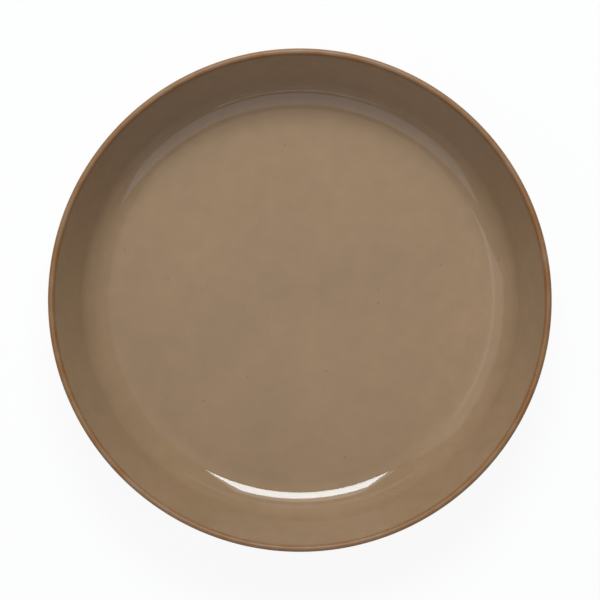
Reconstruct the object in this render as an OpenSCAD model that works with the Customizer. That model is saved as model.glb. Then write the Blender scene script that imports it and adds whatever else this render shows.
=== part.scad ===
// A round stoneware side plate: a flat well, a bend, a steep wall that thins towards a fully
// rounded lip, and a foot ring underneath. It is jiggered from one piece of clay, so the whole
// plate is one section turned about its axis.
// Millimetres. The origin is at the centre of the foot, on the surface it stands on.

/* [Rim] */
// Outside diameter, measured over the lip
rim_d = 200; // [190:1:220]
// Overall height, from the foot to the top of the lip
height = 38; // [34:0.5:42]
// Thickness of the wall at the lip, which is rounded right over
lip_t = 2.5; // [2:0.1:3.4]

/* [Well] */
// Diameter of the flat floor inside
well_d = 149; // [140:1:156]
// Inside radius of the bend between the floor and the wall
bend_r = 16; // [10:0.5:20]
// Thickness of the floor, which carries round the bend
floor_t = 4.5; // [3.5:0.1:6]

/* [Foot ring] */
// Outside diameter of the foot ring
foot_d = 140; // [120:1:144]
// Width of the foot ring
foot_w = 4.5; // [3.5:0.1:8]
// How far the foot ring stands below the underside
foot_h = 2.2; // [2:0.1:4]
// Rounding of the two edges that meet the table
foot_edge_r = 0.8; // [0.4:0.1:1]
// Fillet where the ring runs into the underside
foot_fillet_r = 1; // [0.5:0.1:1]

/* [Hidden] */
$fn = 128;

// The wall keeps a lean: the bend may use this share of the room between the well and the rim
bend_share = 0.9;
// The foot ring reaches this far up into the floor
let_in = floor_t / 2;

floor_z = foot_h + floor_t;
lip_r = lip_t / 2;
lip_centre = [rim_d / 2 - lip_r, height - lip_r];

// The bends inside and outside share a centre, and are limited by the wall that rises from them
inner_bend_r = min(bend_r, bend_share * (rim_d / 2 - well_d / 2 - floor_t));
outer_bend_r = inner_bend_r + floor_t;
bend_centre = [well_d / 2, floor_z + inner_bend_r];

// Each face of the wall is a straight that touches its bend and the round of the lip. This is the
// slope of one that passes below the bend's centre by bend, and above the lip's centre by lip.
function wall_slope(bend, lip) =
    let (run = lip_centre - bend_centre)
    atan2(run[1], run[0]) + asin((bend + lip) / norm(run));
// Square to a slope, towards the inside of the plate
function inwards(slope) = [-sin(slope), cos(slope)];

inner_in = inwards(wall_slope(inner_bend_r, lip_r));
outer_in = inwards(wall_slope(outer_bend_r, -lip_r));

// The outside of floor and wall, filled in across the plate up to the top of the lip
module outside() {
    outer_start = bend_centre - [0, outer_bend_r];
    outer_end = bend_centre - outer_bend_r * outer_in;
    lip_end = lip_centre - lip_r * outer_in;
    polygon([
        [0, foot_h], outer_start, outer_end, lip_end, lip_centre, [lip_centre[0], height], [0, height]
    ]);
    translate(bend_centre) circle(outer_bend_r);
}

// The hollow of the plate, carried up past the lip and past the disc that makes the outer bend
module hollow() {
    top = max(height, bend_centre[1] + outer_bend_r) + lip_t;
    inner_start = bend_centre - [0, inner_bend_r];
    inner_end = bend_centre - inner_bend_r * inner_in;
    lip_end = lip_centre + lip_r * inner_in;
    polygon([
        [0, floor_z], inner_start, inner_end, lip_end, lip_centre, [lip_centre[0], top], [0, top]
    ]);
    translate(bend_centre) circle(inner_bend_r);
}

module dish_section() {
    difference() {
        outside();
        hollow();
    }
    translate(lip_centre) circle(lip_r);
}

// Fills the corner between an upright at x = 0 and the underside at y = 0 with a hollow curve. The
// clay of the fillet also runs back into the ring and up into the floor, so that they are one.
module foot_fillet() {
    difference() {
        translate([-foot_fillet_r, -foot_fillet_r])
            square([2 * foot_fillet_r, foot_fillet_r + let_in]);
        translate([foot_fillet_r, -foot_fillet_r]) circle(foot_fillet_r);
    }
}

// The foot ring: an upright band let into the floor, rounded below and filleted above
module foot_section() {
    outer_x = foot_d / 2;
    inner_x = outer_x - foot_w;
    translate([inner_x, foot_edge_r])
        square([foot_w, foot_h - foot_edge_r + let_in]);
    translate([inner_x + foot_edge_r, 0])
        square([foot_w - 2 * foot_edge_r, foot_h]);
    for (x = [inner_x + foot_edge_r, outer_x - foot_edge_r])
        translate([x, foot_edge_r]) circle(foot_edge_r);
    translate([outer_x, foot_h]) foot_fillet();
    translate([inner_x, foot_h]) mirror([1, 0]) foot_fillet();
}

module plate() {
    color([0.61, 0.51, 0.40])
        rotate_extrude() {
            dish_section();
            foot_section();
        }
}

plate();
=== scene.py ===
# %% [markdown]
# # A glazed stoneware side plate
#
# The plate is one piece of clay. A potter's jigger turns it: a soft slab spins on a plaster mould
# while a template presses the other side to shape, so every cut through the middle is the same.
# It is then dipped in glaze and fired once more, which leaves a glossy skin over the clay.
#
# This lesson loads the measured solid, turns the same section again as a much finer mesh, and
# gives it the two surfaces a real one has: the glaze, and the bare clay under the foot.

# %% Load the solid that everything is measured from
import math

import bpy
import numpy as np
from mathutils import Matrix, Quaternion, Vector


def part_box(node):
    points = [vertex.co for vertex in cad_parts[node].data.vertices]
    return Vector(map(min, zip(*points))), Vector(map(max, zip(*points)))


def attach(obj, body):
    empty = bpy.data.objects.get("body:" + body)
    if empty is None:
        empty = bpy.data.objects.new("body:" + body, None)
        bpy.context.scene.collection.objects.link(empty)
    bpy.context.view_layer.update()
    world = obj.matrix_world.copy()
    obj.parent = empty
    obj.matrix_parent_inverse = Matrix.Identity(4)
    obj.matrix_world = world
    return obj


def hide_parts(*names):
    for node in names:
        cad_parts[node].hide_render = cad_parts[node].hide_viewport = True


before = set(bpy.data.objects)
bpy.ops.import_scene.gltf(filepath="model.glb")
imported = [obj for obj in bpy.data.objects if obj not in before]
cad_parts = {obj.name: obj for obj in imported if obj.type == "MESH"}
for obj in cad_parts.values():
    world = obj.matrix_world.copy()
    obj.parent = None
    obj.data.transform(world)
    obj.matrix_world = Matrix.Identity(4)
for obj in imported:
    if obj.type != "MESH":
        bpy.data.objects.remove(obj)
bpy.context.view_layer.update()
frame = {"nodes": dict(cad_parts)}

MM = 0.001  # a millimetre in metres, which is what the frame and Blender use
low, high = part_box("plate")
RIM_R = high.x / MM
HEIGHT = high.z / MM
print("solids in the frame:", ", ".join(frame["nodes"]))
print(f"the plate is {(high.x - low.x) / MM:.1f} mm across and {HEIGHT:.1f} mm high")

# %% [markdown]
# ## The section
#
# A plate needs only half of its cross-section, drawn to the right of the axis. It could be drawn
# as a smooth spline, but a potter's template is made of true arcs and straights that run into
# each other, and the eye reads that in the reflections: a highlight keeps its width along an arc
# and changes where the curvature changes. So the section here is built from arcs too.
#
# The sizes are in millimetres, from the axis outwards and from the table upwards.

# %% Sizes of the section
WELL_R = 74.5  # the flat floor of the well
BEND_R = 16.0  # inside the bend from the floor to the wall
FLOOR_T = 4.5  # the floor, and the clay round the bend
LIP_T = 2.5
FOOT_R = 70.0
FOOT_W = 4.5
FOOT_H = 2.2
FOOT_EDGE_R = 0.8
FOOT_FILLET_R = 1.0

FLOOR_Z = FOOT_H + FLOOR_T
LIP_R = LIP_T / 2
lip_centre = np.array([RIM_R - LIP_R, HEIGHT - LIP_R])
bend_centre = np.array([WELL_R, FLOOR_Z + BEND_R])
print(f"{FLOOR_T} mm of clay in the floor, {LIP_T} mm at the lip, and {HEIGHT - FLOOR_Z:.1f} mm deep inside")

# %% [markdown]
# ## The wall
#
# Each face of the wall is a straight that touches two circles: the bend from the floor, and the
# round of the lip. The slope of such a line follows from the distance between the two centres and
# the two radii, so there is no kink anywhere and the wall thins evenly towards the lip. The slope
# could also be found by trial, but then every other size would need a trial of its own.
#
# Inside, the surface that the eye sees is the glaze. While it is molten it runs down the wall and
# gathers in the bend, where it is a little thicker than elsewhere. So the bend is drawn a few
# tenths of a millimetre further in than on the solid, which moves the highlight with it.

# %% The slope of the wall, inside and outside
GATHERED = 0.4
inner_bend_centre = bend_centre - (GATHERED, 0)


def wall_slope(centre, below_bend, above_lip):
    """degrees of a line that passes that far below the bend's centre and above the lip's centre"""
    run = lip_centre - centre
    along = math.atan2(run[1], run[0])
    return math.degrees(along + math.asin((below_bend + above_lip) / math.hypot(*run)))


INNER_SLOPE = wall_slope(inner_bend_centre, BEND_R, LIP_R)
OUTER_SLOPE = wall_slope(bend_centre, BEND_R + FLOOR_T, -LIP_R)
print(f"the wall rises at {INNER_SLOPE:.1f} degrees inside and {OUTER_SLOPE:.1f} outside")

# %% [markdown]
# ## From section to points
#
# The mesh follows the section from the middle of the underside, round the foot, up the outside,
# over the lip and down into the well. Each stretch gets as many points as its curvature needs:
# the lip is barely 1 mm in radius, but it catches the light all the way round. A curve object
# could hold the same line, but its points couldn't carry the values below.
#
# Each point also carries two values from 0 to 1 for the materials. The first is how thin the glaze
# is: molten glaze creeps away from an outside edge, so it is thinnest on the lip and on the edges
# of the foot. The second says where the clay is bare: the foot's standing face is wiped clean
# before the firing, or the plate would stick to the kiln shelf.


# %% Straights and arcs
def line(start, end, steps):
    """points along a straight, with both its ends"""
    start, end = np.array(start), np.array(end)
    return [start + (end - start) * t for t in np.linspace(0, 1, steps + 1)]


def arc(centre, radius, start, end, steps):
    """points round a circle, with 0 degrees pointing outwards and 90 up"""
    turns = np.radians(np.linspace(start, end, steps + 1))
    return [np.array([centre[0] + radius * math.cos(t), centre[1] + radius * math.sin(t)]) for t in turns]


lip_top = arc(lip_centre, LIP_R, 0, 90, steps=6)[-1]
print(f"the top of the lip is at radius {lip_top[0]:.2f} mm and height {lip_top[1]:.2f} mm")

# %% The row of points, still empty
SAME_POINT = 1e-6
section, thin, bare = [], [], []


def evenly(value, count):
    """so many values: all the same, or running evenly between the two of a pair"""
    first, last = value if np.ndim(value) else (value, value)
    return np.linspace(first, last, count)


def add(stretch, thinness=0.0, clay=0.0):
    """adds a stretch to the row, but not a point that lies on the one before it"""
    count = len(stretch)
    for point, t, c in zip(stretch, evenly(thinness, count), evenly(clay, count)):
        if section and math.dist(point, section[-1]) < SAME_POINT:
            continue
        section.append(point)
        thin.append(t)
        bare.append(c)


print("four steps from thin to thick:", evenly((1.0, 0.0), 5))

# %% [markdown]
# ## The underside and the foot
#
# A plate stands on a ring and not on its whole underside, so that it doesn't rock and only the
# ring has to be wiped clean of glaze. A sponge rounds the ring's two edges, and a small hollow
# fillet leads into the underside on each side. The ring could be a torus pushed into the plate,
# but one line round both keeps the skin closed, as it is on the clay.
#
# The row starts beside the axis. The middle gets a single point of its own later.

# %% Underside and foot
foot_in = FOOT_R - FOOT_W

add(line((0.0, FOOT_H), (foot_in - FOOT_FILLET_R, FOOT_H), steps=16)[1:])
add(arc((foot_in - FOOT_FILLET_R, FOOT_H - FOOT_FILLET_R), FOOT_FILLET_R, 90, 0, steps=6), (0.0, 0.5))
# the inner edge, the standing face and the outer edge
add(arc((foot_in + FOOT_EDGE_R, FOOT_EDGE_R), FOOT_EDGE_R, 180, 270, steps=6), (0.7, 1.0), (0.2, 1.0))
add(line((foot_in + FOOT_EDGE_R, 0.0), (FOOT_R - FOOT_EDGE_R, 0.0), steps=5), 1.0, 1.0)
add(arc((FOOT_R - FOOT_EDGE_R, FOOT_EDGE_R), FOOT_EDGE_R, 270, 360, steps=6), (1.0, 0.7), (1.0, 0.2))
add(arc((FOOT_R + FOOT_FILLET_R, FOOT_H - FOOT_FILLET_R), FOOT_FILLET_R, 180, 90, steps=6), (0.5, 0.0))
print(f"{len(section)} points as far as the foot's outer fillet")

# %% [markdown]
# ## The outside, the lip and the inside
#
# The rest of the skin is three arcs with straights between them. The lip is a full half round,
# because a sharp edge chips and the glaze runs off it. The coat starts to thin just below the lip
# on both sides, so the two walls end in a short stretch of their own.

# %% Outside, lip and inside
THIN_REACH = 1.5


def towards(start, end, distance):
    """the point at this distance from start, on the way to end"""
    way = end - start
    return start + way / np.hypot(*way) * distance


outer_bend = arc(bend_centre, BEND_R + FLOOR_T, -90, OUTER_SLOPE - 90, steps=28)
lip = arc(lip_centre, LIP_R, OUTER_SLOPE - 90, INNER_SLOPE + 90, steps=26)
inner_bend = arc(inner_bend_centre, BEND_R, INNER_SLOPE - 90, -90, steps=44)
below_lip = towards(lip[0], outer_bend[-1], THIN_REACH)
inside_lip = towards(lip[-1], inner_bend[0], THIN_REACH)

# outside: a short flat beside the foot, the bend, and the wall
add(line((FOOT_R + FOOT_FILLET_R, FOOT_H), (WELL_R, FOOT_H), steps=3))
add(outer_bend)
add(line(outer_bend[-1], below_lip, steps=26))
add(line(below_lip, lip[0], steps=4), thinness=(0.0, 0.8))
add(lip, thinness=1.0)
# inside: the wall, the bend, and the flat floor of the well as far as its middle
add(line(lip[-1], inside_lip, steps=4), thinness=(0.9, 0.0))
add(line(inside_lip, inner_bend[0], steps=30))
add(inner_bend)
add(line(inner_bend[-1], (0.0, FLOOR_Z), steps=26)[:-1])
print(f"{len(section)} points in the whole section")

# %% [markdown]
# ## A rim slightly out of true
#
# A jiggered plate is turned true, but it moves a little as it dries and is fired: the lip wanders
# by a tenth of a millimetre and the wall with it. Displacing the mesh by a noise could give that
# too, but a fired rim moves in a few long waves round the plate, so waves are simply added up.
# They only ever lean the wall in, which keeps the plate inside the solid that it stands for.

# %% How far the rim leans in
WARP = 0.12
# waves round the rim, the share that each has in the warp, and where it starts
WAVES = ((2, 0.6, 0.7), (3, 0.3, 2.1), (7, 0.1, 0.0))


def warp(angle, height):
    """how far, in mm, the wall is moved at this angle; nothing at the floor and the foot"""
    share = np.clip((height - FLOOR_Z) / (HEIGHT - FLOOR_Z), 0, 1) ** 2
    wave = sum(part * np.cos(count * angle + start) for count, part, start in WAVES)
    return share * WARP * (wave - 1.0) / 2


lean = -warp(np.radians(np.arange(360)), HEIGHT)
print(f"the lip leans in by {lean.min():.2f} to {lean.max():.2f} mm")

# %% [markdown]
# ## Turning the section
#
# Blender's Screw modifier can turn a profile, and so can Spin in edit mode. Here the rings are
# written straight into a mesh, because the points also carry the glaze values, and because each
# ring is a little untrue. A fan of triangles closes the middle of the underside and of the well.

# %% Points and faces
SEGMENTS = 384
angles = np.arange(SEGMENTS) * 2 * math.pi / SEGMENTS
r, z = np.array(section).T
ring_r = r[:, None] + warp(angles[None, :], z[:, None])
ring_z = np.broadcast_to(z[:, None], ring_r.shape)
points = np.stack([ring_r * np.cos(angles), ring_r * np.sin(angles), ring_z], axis=-1).reshape(-1, 3)
points = np.vstack([points, [0, 0, FOOT_H], [0, 0, FLOOR_Z]]) * MM

rings = len(section)
last_ring = (rings - 1) * SEGMENTS
under, over = rings * SEGMENTS, rings * SEGMENTS + 1
neighbours = [(j, (j + 1) % SEGMENTS) for j in range(SEGMENTS)]
faces = []
for start in range(0, last_ring, SEGMENTS):
    end = start + SEGMENTS
    faces.extend((start + j, start + k, end + k, end + j) for j, k in neighbours)
for j, k in neighbours:
    faces.append((under, k, j))
    faces.append((over, last_ring + j, last_ring + k))
print(f"{len(points)} points and {sum(len(face) - 2 for face in faces)} triangles")

# %% The plate's mesh, with the glaze values on its points
mesh = bpy.data.meshes.new("plate_body")
mesh.from_pydata(points.tolist(), [], faces)
mesh.validate()
for name, ring_values in (("glaze_thin", thin), ("bare_clay", bare)):
    values = np.append(np.repeat(ring_values, SEGMENTS), [0.0, 0.0])
    mesh.attributes.new(name, "FLOAT", "POINT").data.foreach_set("value", values)
    print(f"{name}: {np.mean(values > 0.5):.0%} of the points are over a half")
mesh.shade_smooth()
mesh.update()
plate = bpy.data.objects.new("plate_body", mesh)
bpy.context.scene.collection.objects.link(plate)

# %% [markdown]
# ## Colours and nodes
#
# A colour seen on a screen is stored as sRGB, and the renderer works with linear light, so each
# hex value is turned to linear once, by one function. A second one adds a node with its settings
# and its links in one line, which keeps a material readable from top to bottom. Nodes could be
# laid by hand in the editor instead, but then the numbers in them would be out of sight.

# %% Two helpers for the materials
COLOUR = {"data_type": "RGBA"}  # makes a Mix node one for colours, with inputs 0, 6 and 7 and output 2


def srgb(text):
    """a hex colour such as 997F62 as linear red, green, blue and full alpha"""
    parts = [int(text[i : i + 2], 16) / 255 for i in (0, 2, 4)]
    return tuple(c / 12.92 if c <= 0.04045 else ((c + 0.055) / 1.055) ** 2.4 for c in parts) + (1.0,)


def node(tree, kind, settings=None, **inputs):
    """adds a node; an input is a value, or the output of another node

    An input is named as in the editor, with _ for a space, or by its number, as in i0.
    """
    new = tree.nodes.new(kind)
    for key, value in (settings or {}).items():
        setattr(new, key, value)
    for key, value in inputs.items():
        socket = new.inputs[int(key[1:])] if key[1:].isdigit() else new.inputs[key.replace("_", " ")]
        if isinstance(value, bpy.types.NodeSocket):
            tree.links.new(value, socket)
        else:
            socket.default_value = value
    return new


print("997F62 in linear light:", [round(c, 3) for c in srgb("997F62")[:3]])

# %% [markdown]
# ## The glaze
#
# A stoneware glaze is a glass, coloured here with iron and a little rutile to a warm taupe. It is
# melted onto the clay at about 1240 degrees and levels out to a gloss. To the eye that gives
# sharp reflections over a deep colour that is never quite even.
#
# The coat isn't equally thick: dipping leaves soft clouds a few centimetres across, and the melt
# separates into a mottle of some millimetres. Both are noise in the shader, each with its scale
# worked out from a size in millimetres. They move the colour by two or three levels only, as in
# the photograph. A painted texture could do the same, but it would need an unwrapped mesh and
# would blur when the camera comes close.


# %% The glaze's colour, before anything breaks it
def scale_of(size_mm):
    """the texture scale, in repeats to the metre, that gives features of this size"""
    return 1000.0 / size_mm


GLAZE_COOL = srgb("967B5E")
GLAZE_WARM = srgb("A48567")
CLOUD_SIZE = 45.0
MOTTLE_SIZE = 7.0

glaze = bpy.data.materials.new("iron_stoneware_glaze")
glaze.use_nodes = True
tree = glaze.node_tree
tree.nodes.clear()
place = node(tree, "ShaderNodeTexCoord").outputs["Object"]
clouds = node(tree, "ShaderNodeTexNoise", Vector=place, Scale=scale_of(CLOUD_SIZE), Detail=2.0,
              Roughness=0.5)
mottle = node(tree, "ShaderNodeTexNoise", Vector=place, Scale=scale_of(MOTTLE_SIZE), Detail=3.0,
              Roughness=0.55)
both = node(tree, "ShaderNodeMath", {"operation": "ADD"}, i0=clouds.outputs["Fac"], i1=mottle.outputs["Fac"])
warmth = node(tree, "ShaderNodeMapRange", Value=both.outputs[0], From_Min=0.55, From_Max=1.45)
tone = node(tree, "ShaderNodeMix", COLOUR, i0=warmth.outputs[0], i6=GLAZE_COOL, i7=GLAZE_WARM)
print(f"clouds of {CLOUD_SIZE:.0f} mm and a mottle of {MOTTLE_SIZE:.0f} mm")

# %% [markdown]
# ## Iron specks
#
# Grains of iron in the clay bleed through the glaze as small brown specks, and here and there a
# bubble has burst and left a pale pinprick. Both are scattered by chance, so a Voronoi texture
# fits: it drops one point into each cell of a jittered grid, and the distance to that point draws
# a dot. The cell's random colour then keeps only some of the dots, so that they don't look evenly
# spaced. The grid fills space, so the surface shows only the dots that it happens to cut.
#
# Real specks are 0.3 to 1 mm across. Here they are drawn a little over 1 mm, because anything
# finer falls between the render's pixels, and faintly, as in the photograph.

# %% Specks and pinpricks
SPECK = srgb("6E5439")
PINPRICK = srgb("B39A7C")
FAINT = 0.3
IRON = {"cell_mm": 8.0, "radius_mm": 0.75, "kept": 0.35}
PIN = {"cell_mm": 13.0, "radius_mm": 0.5, "kept": 0.4}


def dots(cell_mm, radius_mm, kept):
    """a mask of dots in the kept share of cells, full to half the radius and fading out from there"""
    cells = node(tree, "ShaderNodeTexVoronoi", Vector=place, Scale=scale_of(cell_mm))
    reach = radius_mm / cell_mm
    dot = node(tree, "ShaderNodeMapRange", Value=cells.outputs["Distance"],
               From_Min=reach, From_Max=0.5 * reach, To_Min=0.0, To_Max=1.0)
    chance = node(tree, "ShaderNodeSeparateColor", Color=cells.outputs["Color"])
    keep = node(tree, "ShaderNodeMath", {"operation": "LESS_THAN"}, i0=chance.outputs[0], i1=kept)
    apart = math.sqrt(cell_mm**3 / (kept * 2 * radius_mm))
    print(f"dots up to {2 * radius_mm:.1f} mm across, about {apart:.0f} mm apart on the surface")
    return node(tree, "ShaderNodeMath", {"operation": "MULTIPLY"}, i0=dot.outputs[0], i1=keep.outputs[0])


iron = dots(**IRON)
faint_iron = node(tree, "ShaderNodeMath", {"operation": "MULTIPLY"}, i0=iron.outputs[0], i1=FAINT)
pins = dots(**PIN)
faint_pins = node(tree, "ShaderNodeMath", {"operation": "MULTIPLY"}, i0=pins.outputs[0], i1=FAINT)
specked = node(tree, "ShaderNodeMix", COLOUR, i0=faint_iron.outputs[0], i6=tone.outputs[2], i7=SPECK)
pricked = node(tree, "ShaderNodeMix", COLOUR, i0=faint_pins.outputs[0], i6=specked.outputs[2], i7=PINPRICK)

# %% [markdown]
# ## The broken edge
#
# Where the coat is thin, at the lip, less of its taupe hides the body, and the iron in it oxidises
# to an orange brown. Potters say that the glaze breaks there. A ring of another material could
# show it, but it would end in a hard line. So the point values made with the section say where,
# and a noise of about 12 mm along the lip makes the break patchy, because the coat never draws
# back evenly.

# %% The break on the lip
LIP_BREAK = srgb("8A5C30")
PATCH_SIZE = 12.0

thin_value = node(tree, "ShaderNodeAttribute", {"attribute_name": "glaze_thin"}).outputs["Fac"]
patches = node(tree, "ShaderNodeTexNoise", Vector=place, Scale=scale_of(PATCH_SIZE), Detail=2.0,
               Roughness=0.6)
patchy = node(tree, "ShaderNodeMapRange", Value=patches.outputs["Fac"],
              From_Min=0.3, From_Max=0.65, To_Min=0.5, To_Max=1.0)
broken = node(tree, "ShaderNodeMath", {"operation": "MULTIPLY"}, i0=thin_value, i1=patchy.outputs[0])
edged = node(tree, "ShaderNodeMix", COLOUR, i0=broken.outputs[0], i6=pricked.outputs[2], i7=LIP_BREAK)
print(f"the glaze breaks over the lip and fades back within {THIN_REACH} mm of it")

# %% [markdown]
# ## Bare clay
#
# The foot's standing face has no glaze. Fired stoneware is a dense, matt, sandy body: buff, with
# darker grains of fired grog about half a millimetre across, and toasted to orange in a narrow
# line where it meets the glaze. It is mixed into the same material by the second point value, and
# a noise of 2 mm makes the wiped line wander as it does when a sponge has gone round it. A
# material of its own for those faces could do, but its border would follow the mesh.

# %% The clay under the foot
CLAY = srgb("B89A76")
CLAY_GRAIN = srgb("8A6A4A")
CLAY_TOASTED = srgb("9C6236")
WANDER_SIZE = 2.0
WANDER = 0.5
GROG_SIZE = 0.6
# the wiped value at which the glaze starts to end, at which it has ended, and where toasting ends
GLAZE_ENDS, TOAST_STARTS, TOAST_ENDS = 0.86, 0.92, 1.15

bare_value = node(tree, "ShaderNodeAttribute", {"attribute_name": "bare_clay"}).outputs["Fac"]
wander = node(tree, "ShaderNodeTexNoise", Vector=place, Scale=scale_of(WANDER_SIZE), Detail=2.0)
wiped = node(tree, "ShaderNodeMath", {"operation": "MULTIPLY_ADD"},
             i0=wander.outputs["Fac"], i1=WANDER, i2=bare_value).outputs[0]
is_bare = node(tree, "ShaderNodeMapRange", Value=wiped, From_Min=GLAZE_ENDS, From_Max=TOAST_STARTS).outputs[0]
is_deep = node(tree, "ShaderNodeMapRange", Value=wiped, From_Min=TOAST_STARTS, From_Max=TOAST_ENDS).outputs[0]
grog = node(tree, "ShaderNodeTexNoise", Vector=place, Scale=scale_of(GROG_SIZE), Detail=2.0, Roughness=0.7)
grains = node(tree, "ShaderNodeMapRange", Value=grog.outputs["Fac"], From_Min=0.52, From_Max=0.68)
sandy = node(tree, "ShaderNodeMix", COLOUR, i0=grains.outputs[0], i6=CLAY, i7=CLAY_GRAIN)
body = node(tree, "ShaderNodeMix", COLOUR, i0=is_deep, i6=CLAY_TOASTED, i7=sandy.outputs[2])
colour = node(tree, "ShaderNodeMix", COLOUR, i0=is_bare, i6=edged.outputs[2], i7=body.outputs[2])
print(f"bare clay on a ring {FOOT_W - 2 * FOOT_EDGE_R:.1f} mm wide")

# %% [markdown]
# ## Gloss
#
# Glass reflects by its index of refraction, about 1.5, and a well melted glaze is almost as smooth
# as a polished pane, with a roughness of about 0.03. The thin coat on the lip is drier, and the
# clay is fully matt. A clear coat over a matt base would come close, but a coloured glass is one
# layer, so one gloss does it, and its roughness changes with the clouds, the lip and the clay.

# %% Roughness
GLASS_IOR = 1.5
SMOOTHEST, LEAST_SMOOTH = 0.02, 0.045
LIP_ROUGHNESS = 0.5
CLAY_ROUGHNESS = 0.85

smooth = node(tree, "ShaderNodeMapRange", Value=clouds.outputs["Fac"],
              From_Min=0.3, From_Max=0.7, To_Min=SMOOTHEST, To_Max=LEAST_SMOOTH)
drier = node(tree, "ShaderNodeMix", i0=thin_value, i2=smooth.outputs[0], i3=LIP_ROUGHNESS)
rough = node(tree, "ShaderNodeMix", i0=is_bare, i2=drier.outputs[0], i3=CLAY_ROUGHNESS)
print(f"roughness from {SMOOTHEST} on the glaze to {CLAY_ROUGHNESS} on the clay")

# %% [markdown]
# ## Relief
#
# The gloss also shows what the hand feels: an orange peel of a few thousandths of a millimetre,
# pinholes where bubbles burst in the melt, and grains that stand out of the bare clay. They could
# be cut into the mesh, but they are finer than its faces or far too shallow to show in an outline,
# so a Bump node is right for them. Heights are in millimetres, and the node's distance turns them
# to metres.

# %% Bump, and the whole surface
PEEL_SIZE = 5.0
PEEL_HEIGHT = 0.004
PIN_DEPTH = 0.06
GRAIN_HEIGHT = 0.25

peel = node(tree, "ShaderNodeTexNoise", Vector=place, Scale=scale_of(PEEL_SIZE), Detail=1.0)
peel_mm = node(tree, "ShaderNodeMath", {"operation": "MULTIPLY"}, i0=peel.outputs["Fac"], i1=PEEL_HEIGHT)
glaze_mm = node(tree, "ShaderNodeMath", {"operation": "MULTIPLY_ADD"},
                i0=pins.outputs[0], i1=-PIN_DEPTH, i2=peel_mm.outputs[0])
clay_mm = node(tree, "ShaderNodeMath", {"operation": "MULTIPLY"}, i0=grog.outputs["Fac"], i1=GRAIN_HEIGHT)
relief = node(tree, "ShaderNodeMix", i0=is_bare, i2=glaze_mm.outputs[0], i3=clay_mm.outputs[0])
bump = node(tree, "ShaderNodeBump", Strength=1.0, Distance=MM, Height=relief.outputs[0])
surface = node(tree, "ShaderNodeBsdfPrincipled", Base_Color=colour.outputs[2], IOR=GLASS_IOR,
               Roughness=rough.outputs[0], Normal=bump.outputs[0])
node(tree, "ShaderNodeOutputMaterial", Surface=surface.outputs[0])
plate.data.materials.append(glaze)
print(f"{len(tree.nodes)} nodes in the glaze")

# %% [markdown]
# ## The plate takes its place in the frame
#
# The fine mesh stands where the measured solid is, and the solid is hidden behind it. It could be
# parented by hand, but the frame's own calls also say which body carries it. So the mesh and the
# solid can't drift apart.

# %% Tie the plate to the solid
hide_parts("plate")
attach(plate, "root")
print(f"{plate.name} stands for the solid plate")

# %% [markdown]
# ## The table
#
# The plate lies on white paper that runs on past the picture: matt, and without a grain that would
# show from here. A camera would have to overexpose the paper to get it this white, and the plate
# with it. So the paper's material asks who is looking: for the camera, and for what is seen in a
# mirror or through a glass, most of it is a flat white of strength 1, with just enough of the real
# shading left to keep the plate's shadow. All other light finds plain matt paper, and is bounced
# back by it.

# %% White paper
WHITE = srgb("FFFFFF")
PAPER = srgb("F3F3F3")
PAPER_SIZE = 12.0
FLAT_WHITE = 0.92
# the paper lies a hair lower than the foot, so that the two faces never coincide
PAPER_Z = -0.05 * MM

bpy.ops.mesh.primitive_plane_add(size=PAPER_SIZE, location=(0.0, 0.0, PAPER_Z))
table = bpy.context.object
table.name = "table"
paper = bpy.data.materials.new("white_paper")
paper.use_nodes = True
tree = paper.node_tree
tree.nodes.clear()
matt = node(tree, "ShaderNodeBsdfDiffuse", Color=PAPER)
flat = node(tree, "ShaderNodeEmission", Color=WHITE, Strength=1.0)
path = node(tree, "ShaderNodeLightPath")
mirrored = node(tree, "ShaderNodeMath", {"operation": "MAXIMUM"},
                i0=path.outputs["Is Camera Ray"], i1=path.outputs["Is Glossy Ray"])
looked_at = node(tree, "ShaderNodeMath", {"operation": "MAXIMUM"},
                 i0=mirrored.outputs[0], i1=path.outputs["Is Transmission Ray"])
flatness = node(tree, "ShaderNodeMath", {"operation": "MULTIPLY"}, i0=looked_at.outputs[0], i1=FLAT_WHITE)
seen = node(tree, "ShaderNodeMixShader", i0=flatness.outputs[0], i1=matt.outputs[0], i2=flat.outputs[0])
node(tree, "ShaderNodeOutputMaterial", Surface=seen.outputs[0])
table.data.materials.append(paper)
print(f"{PAPER_SIZE:.0f} m of paper, {FLAT_WHITE:.0%} of it flat white to the eye")

# %% [markdown]
# ## The room
#
# An image of a real room, wrapped round the scene, could light the plate, but then nothing in it
# could be moved. So the room comes first, almost dark as in a studio with black walls, because
# that is what the gloss of the well shows, and the lamps come after it. The camera sees the room
# as white, so that the paper has no dark edge in a low view.

# %% The room
ROOM_GLOW = 0.03

world = bpy.data.worlds.new("dark_studio")
bpy.context.scene.world = world
world.use_nodes = True
tree = world.node_tree
tree.nodes.clear()
path = node(tree, "ShaderNodeLightPath")
dim = node(tree, "ShaderNodeBackground", Color=WHITE, Strength=ROOM_GLOW)
white = node(tree, "ShaderNodeBackground", Color=WHITE, Strength=1.0)
seen = node(tree, "ShaderNodeMixShader",
            i0=path.outputs["Is Camera Ray"], i1=dim.outputs[0], i2=white.outputs[0])
node(tree, "ShaderNodeOutputWorld", Surface=seen.outputs[0])
print(f"the room glows at {ROOM_GLOW} of white")

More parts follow.
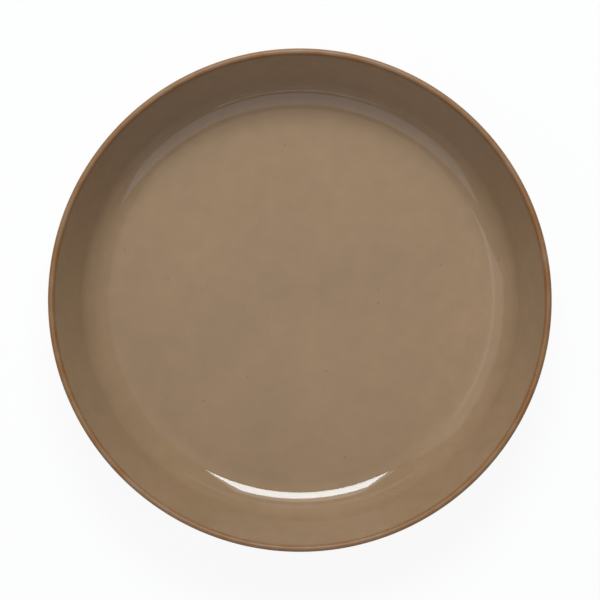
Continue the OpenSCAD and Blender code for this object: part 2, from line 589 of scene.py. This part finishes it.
# %% [markdown]
# ## The light
#
# The light can be read from the gloss. The white crescent at the near side of the bend is the
# mirror image of one softbox, which hangs beyond the plate and a good metre up. Where it hangs
# follows from where the crescent lies on the bend, and its size and its slight turn follow from
# the crescent's width and its two ends. A thin, faint line in the bend on the right is the image
# of a second, dimmer panel on the left. The far wall lies in shadow, lit only by white cards.
#
# Each panel is an area lamp, sized and hung in metres like the real one. A glowing plane could do
# the same, but a lamp is sampled far better and gives less noise. Its power follows from its
# radiance, which is how bright its face looks. The softbox is a shade cooler than the cards, so
# its image stays white on the brown glaze, and the near card is cooler still, which keeps the
# shaded wall a greyish brown.


# %% Softbox and cards
def panel(name, centre, width, depth, radiance, tint="FFFFFF", turn=0.0):
    """a lit panel that faces the plate, turned about its own middle by some degrees

    An area lamp's power is its radiance times its area times pi.
    """
    lamp = bpy.data.lights.new(name, "AREA")
    lamp.shape = "RECTANGLE"
    lamp.size, lamp.size_y = width, depth
    lamp.energy = radiance * width * depth * math.pi
    lamp.color = srgb(tint)[:3]
    holder = bpy.data.objects.new(name, lamp)
    bpy.context.scene.collection.objects.link(holder)
    holder.location = centre
    aim = (-Vector(centre)).to_track_quat("-Z", "Y")
    holder.rotation_euler = (aim @ Quaternion((0, 0, 1), math.radians(turn))).to_euler()
    holder.visible_camera = False
    print(f"{name}: {lamp.energy:.1f} W")


panel("softbox", (0.0015, 0.744, 1.066), width=0.62, depth=0.43, radiance=14.6, tint="EFFAFF", turn=5.2)
panel("softbox_spill", (0.0, 0.836, 0.929), width=0.70, depth=0.60, radiance=1.90)
panel("left_panel", (-0.567, 0.020, 1.114), width=0.70, depth=0.25, radiance=0.60, turn=-15.0)
panel("left_card", (-0.830, 0.254, 0.899), width=1.0, depth=0.8, radiance=0.56)
panel("ceiling_card", (0.0, 0.0, 1.25), width=1.0, depth=1.0, radiance=0.36)
panel("near_card", (0.0, -1.024, 0.717), width=3.0, depth=0.9, radiance=0.80, tint="E1ECFF")
panel("far_low_card", (0.0, 1.223, 0.260), width=1.6, depth=0.5, radiance=0.40)

# %% [markdown]
# ## The camera
#
# The photograph looks straight down from about a metre, a hair off the middle of the plate. The
# lens could be found by trial, but it follows from similar triangles: the sensor is to the lens
# as the width of the picture, at the level of the rim, is to the distance from there.

# %% Camera
CAMERA_PLACE = (0.06 * MM, 0.07 * MM, 1.0)
PICTURE_WIDTH = 0.2378
SENSOR_WIDTH = 36.0

camera = bpy.data.cameras.new("camera")
camera.sensor_width = SENSOR_WIDTH
camera.lens = SENSOR_WIDTH * (CAMERA_PLACE[2] - HEIGHT * MM) / PICTURE_WIDTH
eye = bpy.data.objects.new("camera", camera)
bpy.context.scene.collection.objects.link(eye)
eye.location = CAMERA_PLACE
bpy.context.scene.camera = eye
bpy.context.scene.view_settings.view_transform = "Standard"
print(f"a lens of {camera.lens:.0f} mm")
